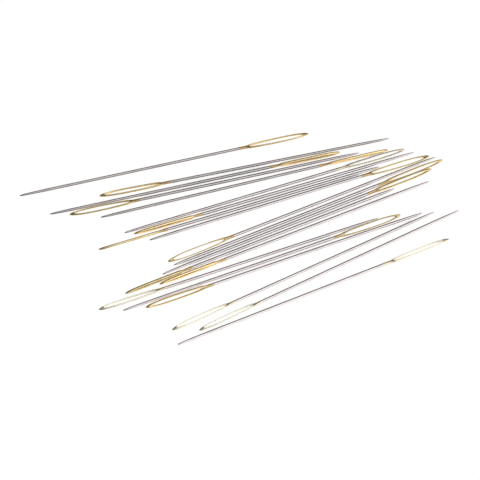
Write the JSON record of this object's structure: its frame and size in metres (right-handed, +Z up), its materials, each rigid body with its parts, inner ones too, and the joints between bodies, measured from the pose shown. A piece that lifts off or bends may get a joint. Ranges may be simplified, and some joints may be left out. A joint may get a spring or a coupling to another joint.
{
  "type": "embroidery needle set",
  "caption": "Loose fan of long-eyed embroidery needles: slim steel wires with tapered points and flat, punched, gold-plated eye ends for stranded thread.",
  "frame": {"origin": "on the table, under the middle of the set's bounding box", "axes": "+Z up from the table, +X along the mean direction of the needles, +Y from the front needles to the back ones"},
  "size_m": [0.0816, 0.0476, 0.0013],
  "materials": {
    "steel": "polished",
    "gilt": "polished gold plating"
  },
  "bodies": {
    "needle_01": {"needle_01_shaft": "steel", "needle_01_eye": "gilt"},
    "needle_02": {"needle_02_shaft": "steel", "needle_02_eye": "gilt"},
    "needle_03": {"needle_03_shaft": "steel", "needle_03_eye": "gilt"},
    "needle_04": {"needle_04_shaft": "steel", "needle_04_eye": "gilt"},
    "needle_05": {"needle_05_shaft": "steel", "needle_05_eye": "gilt"},
    "needle_06": {"needle_06_shaft": "steel", "needle_06_eye": "gilt"},
    "needle_07": {"needle_07_shaft": "steel", "needle_07_eye": "gilt"},
    "needle_08": {"needle_08_shaft": "steel", "needle_08_eye": "gilt"},
    "needle_09": {"needle_09_shaft": "steel", "needle_09_eye": "gilt"},
    "needle_10": {"needle_10_shaft": "steel", "needle_10_eye": "gilt"},
    "needle_11": {"needle_11_shaft": "steel", "needle_11_eye": "gilt"},
    "needle_12": {"needle_12_shaft": "steel", "needle_12_eye": "gilt"},
    "needle_13": {"needle_13_shaft": "steel", "needle_13_eye": "gilt"},
    "needle_14": {"needle_14_shaft": "steel", "needle_14_eye": "gilt"},
    "needle_15": {"needle_15_shaft": "steel", "needle_15_eye": "gilt"},
    "needle_16": {"needle_16_shaft": "steel", "needle_16_eye": "gilt"},
    "needle_17": {"needle_17_shaft": "steel", "needle_17_eye": "gilt"},
    "needle_18": {"needle_18_shaft": "steel", "needle_18_eye": "gilt"},
    "needle_19": {"needle_19_shaft": "steel", "needle_19_eye": "gilt"},
    "needle_20": {"needle_20_shaft": "steel", "needle_20_eye": "gilt"}
  },
  "joints": [
    {"name": "needle_02_lift", "type": "slide", "parent": "needle_01", "child": "needle_02", "axis": [0, 0, 1], "range_m": [0, 0.04]},
    {"name": "needle_03_lift", "type": "slide", "parent": "needle_01", "child": "needle_03", "axis": [0, 0, 1], "range_m": [0, 0.04]},
    {"name": "needle_04_lift", "type": "slide", "parent": "needle_01", "child": "needle_04", "axis": [0, 0, 1], "range_m": [0, 0.04]},
    {"name": "needle_05_lift", "type": "slide", "parent": "needle_01", "child": "needle_05", "axis": [0, 0, 1], "range_m": [0, 0.04]},
    {"name": "needle_06_lift", "type": "slide", "parent": "needle_01", "child": "needle_06", "axis": [0, 0, 1], "range_m": [0, 0.04]},
    {"name": "needle_07_lift", "type": "slide", "parent": "needle_01", "child": "needle_07", "axis": [0, 0, 1], "range_m": [0, 0.04]},
    {"name": "needle_08_lift", "type": "slide", "parent": "needle_01", "child": "needle_08", "axis": [0, 0, 1], "range_m": [0, 0.04]},
    {"name": "needle_09_lift", "type": "slide", "parent": "needle_01", "child": "needle_09", "axis": [0, 0, 1], "range_m": [0, 0.04]},
    {"name": "needle_10_lift", "type": "slide", "parent": "needle_01", "child": "needle_10", "axis": [0, 0, 1], "range_m": [0, 0.04]},
    {"name": "needle_11_lift", "type": "slide", "parent": "needle_01", "child": "needle_11", "axis": [0, 0, 1], "range_m": [0, 0.04]},
    {"name": "needle_12_lift", "type": "slide", "parent": "needle_01", "child": "needle_12", "axis": [0, 0, 1], "range_m": [0, 0.04]},
    {"name": "needle_13_lift", "type": "slide", "parent": "needle_01", "child": "needle_13", "axis": [0, 0, 1], "range_m": [0, 0.04]},
    {"name": "needle_14_lift", "type": "slide", "parent": "needle_01", "child": "needle_14", "axis": [0, 0, 1], "range_m": [0, 0.04]},
    {"name": "needle_15_lift", "type": "slide", "parent": "needle_01", "child": "needle_15", "axis": [0, 0, 1], "range_m": [0, 0.04]},
    {"name": "needle_16_lift", "type": "slide", "parent": "needle_01", "child": "needle_16", "axis": [0, 0, 1], "range_m": [0, 0.04]},
    {"name": "needle_17_lift", "type": "slide", "parent": "needle_01", "child": "needle_17", "axis": [0, 0, 1], "range_m": [0, 0.04]},
    {"name": "needle_18_lift", "type": "slide", "parent": "needle_01", "child": "needle_18", "axis": [0, 0, 1], "range_m": [0, 0.04]},
    {"name": "needle_19_lift", "type": "slide", "parent": "needle_01", "child": "needle_19", "axis": [0, 0, 1], "range_m": [0, 0.04]},
    {"name": "needle_20_lift", "type": "slide", "parent": "needle_01", "child": "needle_20", "axis": [0, 0, 1], "range_m": [0, 0.04]}
  ]
}
